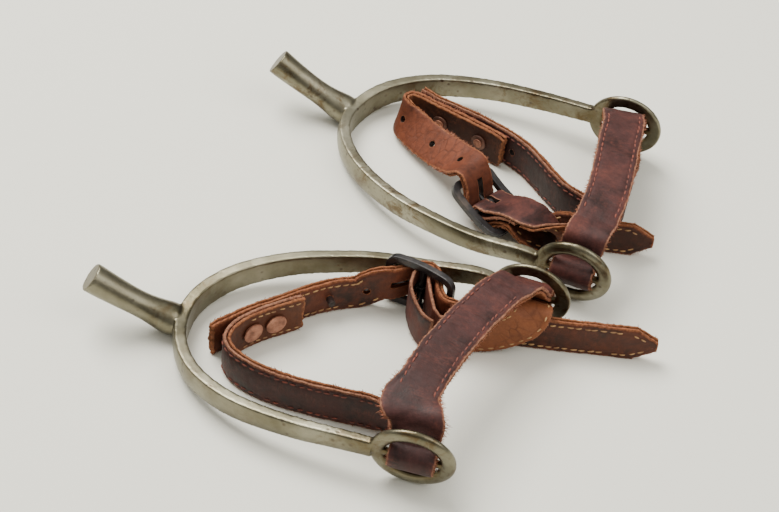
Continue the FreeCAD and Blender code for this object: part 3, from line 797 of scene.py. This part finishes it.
def leather(name, dark, middle, warm, edge_color, gloss):
    """Old strap leather. The leather attribute holds edge, face, tone and stitching."""
    make = Nodes(name)
    attribute = make.add("Attribute", attribute_name="leather")
    parts = make.add("SeparateColor")
    make.join(attribute.outputs["Color"], parts.inputs["Color"])
    edge, face = parts.outputs["Red"], parts.outputs["Green"]
    tone = make.level(parts.outputs["Blue"], 0.0, 1.0, -1.0, 1.0)
    place = make.place((1, 1, 1))
    strap = make.strap_place((1, 1, 1))
    cloud = make.noise(place, 75, 6, 0.65, 0.5)
    base = make.ramp(cloud, [(0.34, dark), (0.5, middle), (0.7, tuple(1.25 * value for value in middle))])
    warmth = make.math("ADD", tone, make.math("MULTIPLY", make.math("SUBTRACT", cloud, 0.5), 1.3))
    color = make.mix(make.level(warmth, 0.15, 0.85), base, warm)
    color = make.mix(make.level(tone, 0.0, -0.5, 0.0, 0.75), color, dark)
    mottle = make.level(make.noise(strap, 520, 5, 0.75), 0.35, 0.7)
    color = make.mix(make.math("MULTIPLY", mottle, 0.45), color, tuple(0.45 * value for value in dark))
    creases = make.noise(make.strap_place((1.0, 0.22, 1.0)), 620, 4, 0.7, 0.8)
    cracks = make.level(make.math("ABSOLUTE", make.math("SUBTRACT", creases, 0.5), 0.0), 0.0, 0.05, 1.0, 0.0)
    worn = make.level(make.noise(place, 140, 3, 0.6), 0.48, 0.66)
    cracked = make.math("MULTIPLY", cracks, worn)
    color = make.mix(make.math("MULTIPLY", cracked, 0.3), color, warm)
    rubbed = make.level(make.noise(place, 210, 5, 0.7), 0.6, 0.72)
    color = make.mix(make.math("MULTIPLY", rubbed, 0.38), color, warm)
    fleshy = make.math("ADD", 0.15, make.math("MULTIPLY", tone, 0.85))
    flesh = make.math("MULTIPLY", make.level(face, 0.3, 0.0), make.level(fleshy, 0.0, 1.0))
    fibre = make.noise(place, 900, 5, 0.75)
    raw = make.mix(make.level(fibre, 0.35, 0.65), tuple(0.35 * value for value in edge_color), edge_color)
    color = make.mix(make.math("MULTIPLY", flesh, 0.85), color, make.mix(0.7, raw, warm))
    frayed = make.math("ADD", edge, make.math("MULTIPLY", make.math("SUBTRACT", fibre, 0.5), 0.9))
    scuffed = make.math("MULTIPLY", make.level(frayed, 0.02, 0.4), worn)
    color = make.mix(make.math("MULTIPLY", scuffed, 0.5), color, warm)
    color = make.mix(make.level(frayed, 0.35, 0.8), color, raw)
    crackle = make.add("TexVoronoi", feature="DISTANCE_TO_EDGE", Scale=330.0)
    make.join(make.strap_place((1.0, 0.55, 1.0)), crackle.inputs["Vector"])
    lines = make.level(crackle.outputs["Distance"], 0.0, 0.09, 1.0, 0.0)
    dry = make.math("MULTIPLY", make.level(tone, 0.45, 0.75), make.level(cloud, 0.42, 0.58))
    crackled = make.math("MULTIPLY", lines, dry)
    color = make.mix(make.math("MULTIPLY", crackled, 0.55), color, dark)
    rough = make.level(make.math("ADD", cloud, make.math("MULTIPLY", edge, 0.5)), 0.3, 1.0, gloss, 0.85)
    pores = make.add("TexVoronoi", feature="F1", Scale=1500.0)
    make.join(strap, pores.inputs["Vector"])
    normal = make.bump(pores.outputs["Distance"], 0.25, 0.1)
    normal = make.bump(creases, 0.45, 0.22, normal)
    normal = make.bump(fibre, 0.3, 0.16, normal)
    normal = make.bump(make.math("SUBTRACT", 1.0, crackled), 0.6, 0.2, normal)
    make.shader.inputs["Specular IOR Level"].default_value = 0.24
    return make.finish(color, rough, normal)


def thread(name, color, dirt_and_shade):
    """Waxed linen thread, dirty in its lay; the same nodes colour the loose fibres and the hole walls, whose
    near-black colours are painted shade.
    """
    make = Nodes(name)
    place = make.place((1, 1, 1))
    cloud = make.noise(place, 260, 4, 0.6)
    twist = make.noise(make.place((3.0, 3.0, 1.0)), 1300, 2)
    shade = make.mix(make.level(cloud, 0.35, 0.68), color, dirt_and_shade)
    return make.finish(shade, make.level(twist, 0.3, 0.7, 0.55, 0.85), make.bump(twist, 0.6, 0.12))


def japanned(name):
    """Black japanned iron, rubbed to dark grey with a little rust."""
    make = Nodes(name)
    place = make.place((1, 1, 1))
    cloud = make.noise(place, 130, 5, 0.65)
    color = make.ramp(cloud, [(0.36, (0.012, 0.011, 0.012)), (0.55, (0.035, 0.031, 0.031)),
                              (0.72, (0.1, 0.075, 0.06))])
    rust = make.level(make.noise(place, 240, 5, 0.7), 0.62, 0.74)
    color = make.mix(make.math("MULTIPLY", rust, 0.6), color, (0.13, 0.055, 0.03))
    make.shader.inputs["Metallic"].default_value = 0.35
    normal = make.bump(make.noise(place, 500, 4), 0.35, 0.15)
    return make.finish(color, make.level(cloud, 0.35, 0.7, 0.26, 0.52), normal)


def copper(name, bright, dull):
    """Flat copper rivet metal gone brown, brighter where it is rubbed."""
    make = Nodes(name)
    place = make.place((1, 1, 1))
    cloud = make.noise(place, 260, 5, 0.65)
    color = make.mix(make.level(cloud, 0.38, 0.64), dull, bright)
    make.shader.inputs["Metallic"].default_value = 0.55
    normal = make.bump(make.noise(place, 420, 4), 0.5, 0.2)
    return make.finish(color, make.level(cloud, 0.3, 0.7, 0.62, 0.4), normal)


# ---------- the pair ----------

METAL = nickel()
STRAP_LEATHER = leather("instep_leather", (0.019, 0.0078, 0.007), (0.055, 0.0185, 0.0165),
                        (0.155, 0.042, 0.027), (0.34, 0.15, 0.088), 0.42)
LINING_LEATHER = leather("lining_leather", (0.03, 0.009, 0.005), (0.08, 0.024, 0.011),
                         (0.23, 0.072, 0.028), (0.34, 0.125, 0.052), 0.55)
BILLET_LEATHER = leather("billet_leather", (0.022, 0.007, 0.004), (0.072, 0.02, 0.01),
                         (0.185, 0.048, 0.02), (0.34, 0.12, 0.052), 0.45)
RED_THREAD = thread("red_brown_thread", (0.21, 0.05, 0.03), (0.075, 0.022, 0.016))
CREAM_THREAD = thread("cream_thread", (0.52, 0.3, 0.125), (0.2, 0.09, 0.04))
# the punched hole and slot walls, near black: painted shade in the recesses
SHADED_HOLE_WALL = thread("painted_shade_hole_wall", (0.03, 0.012, 0.008), (0.01, 0.005, 0.004))
FIBRE = thread("leather_fibre", (0.37, 0.13, 0.066), (0.19, 0.058, 0.032))
IRON = japanned("japanned_iron")
COPPER = copper("brown_copper", (0.46, 0.2, 0.12), (0.2, 0.08, 0.05))
BURR_COPPER = copper("dirty_copper", (0.17, 0.08, 0.055), (0.07, 0.03, 0.021))

# Distances are in millimetres from the start of a strap. Holes are distances, and runs are the stretches of
# thread. Tones are (distance, tone) pairs from -1, dark, to 1, warm. A flare is a torn corner: its distance,
# spread, side and how far it stands out.
STRAPS = {
    "left": {
        "main": left_main(), "chape": left_chape(), "billet": left_billet(), "buckle": LEFT_BUCKLE,
        "main_holes": (), "billet_holes": (45.5, 59.5), "seed": 1,
        "runs": [(30, 118), (150, 208)], "billet_runs": [(18, 62), (106, 173)],
        "lining_runs": [(1, 27), (243, 286)],
        "main_tones": [(0, 0.05), (26, 0.0), (40, -0.15), (110, -0.05), (146, 0.1), (153, -0.3), (172, -0.3),
                       (186, 0.08), (215, 0.12), (240, 0.6), (262, 0.8), (285, 0.4), (300, 0.3)],
        "flares": ((146, 5, 1, 3.4), (139, 4, -1, 1.4)),
        "billet_tones": [(0, 0.6), (24, 0.3), (60, 0.3), (100, 0.5), (118, 0.15), (175, 0.1)],
    },
    "right": {
        "main": right_main(), "chape": right_chape(), "billet": right_billet(), "buckle": RIGHT_BUCKLE,
        "main_holes": (43.5,), "billet_holes": (51, 69, 87), "seed": 31,
        "runs": [(30, 100), (168, 226)], "billet_runs": [(6, 38), (126, 177)], "lining_runs": [(262, 286)],
        "main_tones": [(0, 0.1), (24, -0.3), (60, -0.4), (110, -0.2), (150, 0.08), (225, 0.12), (262, 0.2),
                       (280, 0.25), (320, 0.2)],
        "flares": (),
        "billet_tones": [(0, -0.5), (34, -0.4), (46, 0.5), (78, 0.7), (92, 0.5), (108, 0.1), (128, -0.1),
                         (150, -0.3), (179, -0.35)],
    },
}


def build_strap(name, plan):
    """One spur's two straps, four plies, with their holes, slots and thread."""
    body = name + "_spur"
    seed = plan["seed"]
    main = framed(plan["main"])
    billet = framed(plan["billet"])
    start = main[-1][4]
    middle = (PLY_GAP / 2 + GRAIN_FACE) / 2
    chape = [(point - grain * middle, travel, across, grain, start + 5 + walked)
             for point, travel, across, grain, walked in framed(plan["chape"])]
    outer = (PLY_GAP / 2, GRAIN_FACE)
    lining = (FLESH_FACE, -PLY_GAP / 2)
    layers = (
        ("instep_strap", main + chape, STRAP_WIDTH, outer, "main_tones", "runs", 0.0, STRAP_LEATHER),
        ("instep_lining", main, STRAP_WIDTH - 0.3, lining, "main_tones", "runs", 0.0, LINING_LEATHER),
        ("billet_strap", billet, BILLET_WIDTH, outer, "billet_tones", "billet_runs", TIP_LENGTH,
         BILLET_LEATHER),
        ("billet_lining", billet, BILLET_WIDTH - 0.3, lining, "billet_tones", "billet_runs", TIP_LENGTH,
         LINING_LEATHER),
    )
    plies = []
    for order, (part, frames, width, (low, high), tones, runs, tip, material) in enumerate(layers):
        flares = plan["flares"] if part.startswith("instep") else ()
        ply = Ply(name + "_" + part + "_ply", frames, width, low, high, seed + order * 3, plan[tones],
                  plan[runs], tip, flares)
        piece = ply.build(material)
        plies.append(ply)
        holes = plan["main_holes"] if part.startswith("instep") else plan["billet_holes"]
        punches = []
        for k, distance in enumerate(holes):
            point, travel, across, grain, walked = at_distance(frames, distance)
            punches.append(hole_cutter("punch_%d" % k, point, grain))
        if part.startswith("billet"):
            punches.append(slot_cutter("slot", plan["buckle"], *BILLET_SLOT))
        if part == "instep_strap":
            punches.append(slot_cutter("slot", plan["buckle"], *CHAPE_SLOT))
        if punches:
            cut(piece, punches)
        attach(piece, body)
        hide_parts(name + "_" + part)
    fray = fibres(name + "_edge_fibres", plies, FIBRE, seed + 7)
    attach(fray, body)
    rows = thread_rows(name + "_strap_thread", main, STRAP_WIDTH, plan["runs"], RED_THREAD, seed)
    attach(rows, body)
    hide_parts(name + "_strap_stitching")
    rows = thread_rows(name + "_lining_thread", main, STRAP_WIDTH, plan["lining_runs"], CREAM_THREAD,
                       seed + 2, FLESH_FACE)
    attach(rows, body)
    rows = thread_rows(name + "_billet_thread", billet, BILLET_WIDTH, plan["billet_runs"], CREAM_THREAD,
                       seed + 1, tip=TIP_LENGTH + 2)
    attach(rows, body)
    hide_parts(name + "_billet_stitching")


def build_metal(name):
    """The heel band, buckle and rivets: the CAD's own shapes with softened edges."""
    rings = [LEFT_NEAR, LEFT_FAR] if name == "left" else [RIGHT_NEAR, RIGHT_FAR]
    for part, body, slot, voxel, rounds, material in (
            ("heel_band", "_spur", "spur_metal", 0.42, 4, METAL),
            ("buckle_frame", "_buckle", "buckle_iron", 0.2, 5, IRON),
            ("buckle_prong", "_prong", "prong_iron", 0.16, 3, IRON),
            ("rivets", "_spur", "copper_rivet", 0.14, 2, COPPER),
            ("burrs", "_spur", "copper_burr", 0.14, 2, BURR_COPPER)):
        piece = softened(name + "_" + part, voxel, rounds, material)
        if part == "heel_band":
            tarnish_and_shade(piece, rings)
        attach(piece, name + body)
        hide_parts(name + "_" + part)


for side, plan in STRAPS.items():
    build_strap(side, plan)
    build_metal(side)


# ---------- the studio ----------

def floor():
    """A wide pale table top, just under the spurs."""
    mesh = bpy.data.meshes.new("table_top")
    size = 3.0
    corners = [(-size, -size, 0), (size, -size, 0), (size, size, 0), (-size, size, 0)]
    mesh.from_pydata(corners, [], [(0, 1, 2, 3)])
    ground = linked("table_top", mesh)
    ground.location.z = CAD_BOX[0][2] - 0.00005
    make = Nodes("pale_table")
    make.shader.inputs["Base Color"].default_value = (0.805, 0.795, 0.71, 1)
    make.shader.inputs["Roughness"].default_value = 0.75
    mesh.materials.append(make.material)


def area_light(name, place, aim, size, power, color):
    data = bpy.data.lights.new(name, "AREA")
    data.size = size
    data.energy = power
    data.color = color
    lamp = linked(name, data)
    lamp.location = place
    lamp.rotation_euler = (Vector(aim) - Vector(place)).to_track_quat("-Z", "Y").to_euler()


def studio():
    """A soft sky, brighter overhead, with a key light behind to the left and a weak fill on the right."""
    world = bpy.data.worlds.new("studio")
    bpy.context.scene.world = world
    world.use_nodes = True
    tree = world.node_tree
    background = tree.nodes["Background"]
    background.inputs["Strength"].default_value = 0.9
    direction = tree.nodes.new("ShaderNodeTexCoord")
    parts = tree.nodes.new("ShaderNodeSeparateXYZ")
    ramp = tree.nodes.new("ShaderNodeValToRGB")
    for element, (position, value) in zip(ramp.color_ramp.elements, ((0.35, 0.3), (0.95, 1.25))):
        element.position = position
        element.color = (value, 0.985 * value, 0.93 * value, 1)
    tree.links.new(direction.outputs["Generated"], parts.inputs["Vector"])
    tree.links.new(parts.outputs["Z"], ramp.inputs["Fac"])
    tree.links.new(ramp.outputs["Color"], background.inputs["Color"])
    area_light("key", (-0.55, 0.45, 1.15), (0, 0, 0), 0.8, 31, (1.0, 0.98, 0.93))
    area_light("fill", (0.8, -0.3, 0.9), (0, 0, 0), 0.9, 7, (1.0, 0.98, 0.94))


def camera():
    """A long lens looking down at about 45 degrees, rolled a little."""
    place = V(0.00170, -0.44178, 0.44892)
    elevation = math.radians(44.95)
    roll = math.radians(7.22)
    data = bpy.data.cameras.new("camera")
    data.lens = 80.76
    data.sensor_width = 36
    data.clip_start = 0.01
    shooter = linked("camera", data)
    level_up = V(0, math.sin(elevation), math.cos(elevation))
    right = V(1, 0, 0) * math.cos(roll) + level_up * math.sin(roll)
    up = level_up * math.cos(roll) - V(1, 0, 0) * math.sin(roll)
    back = right.cross(up)
    turn = Matrix((right, up, back)).transposed().to_4x4()
    shooter.matrix_world = Matrix.Translation(place) @ turn
    bpy.context.scene.camera = shooter


floor()
studio()
camera()
